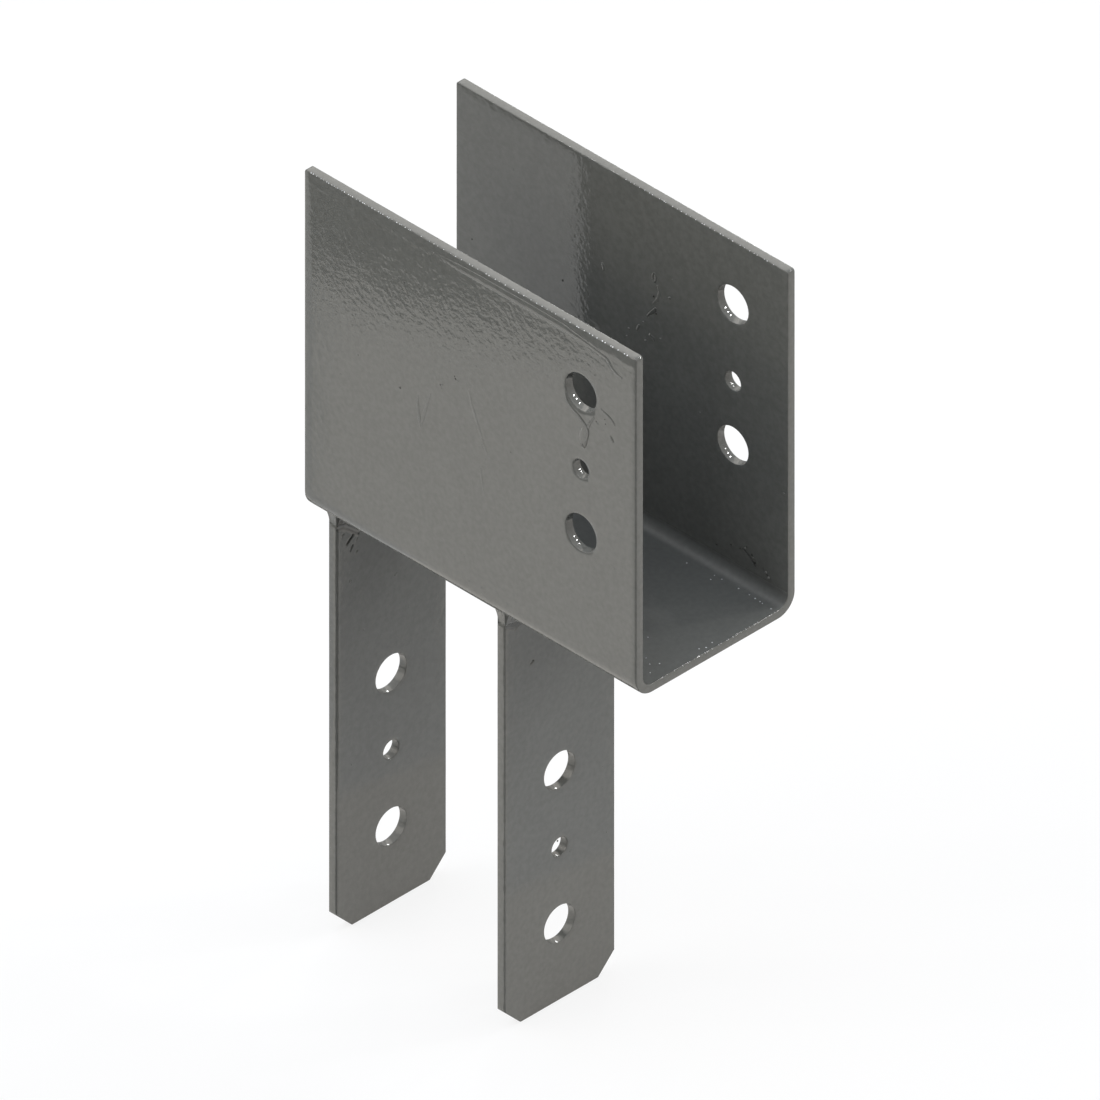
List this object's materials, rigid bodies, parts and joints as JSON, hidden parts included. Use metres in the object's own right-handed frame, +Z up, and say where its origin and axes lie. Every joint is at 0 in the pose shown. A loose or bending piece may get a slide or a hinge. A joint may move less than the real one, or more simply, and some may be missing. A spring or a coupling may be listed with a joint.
{
  "type": "column end cap",
  "caption": "Welded steel cap that seats the end of a timber beam in a folded U bucket and clasps the post below between flat bolted straps.",
  "frame": {"origin": "middle of the post's top bearing, on the underside of the seat, midway between the straps", "axes": "+X along the beam, from the flush end to the open end; +Y across the bucket; +Z up, from the post to the beam"},
  "size_m": [0.1919, 0.0916, 0.3856],
  "materials": {
    "painted_plate": "semi-gloss grey shop paint",
    "painted_weld": "semi-gloss grey shop paint over a weld bead"
  },
  "bodies": {
    "root": {"bucket": "painted_plate", "end_strap": "painted_plate", "inner_strap": "painted_plate", "end_strap_weld": "painted_weld", "inner_strap_weld": "painted_weld"}
  },
  "joints": []
}
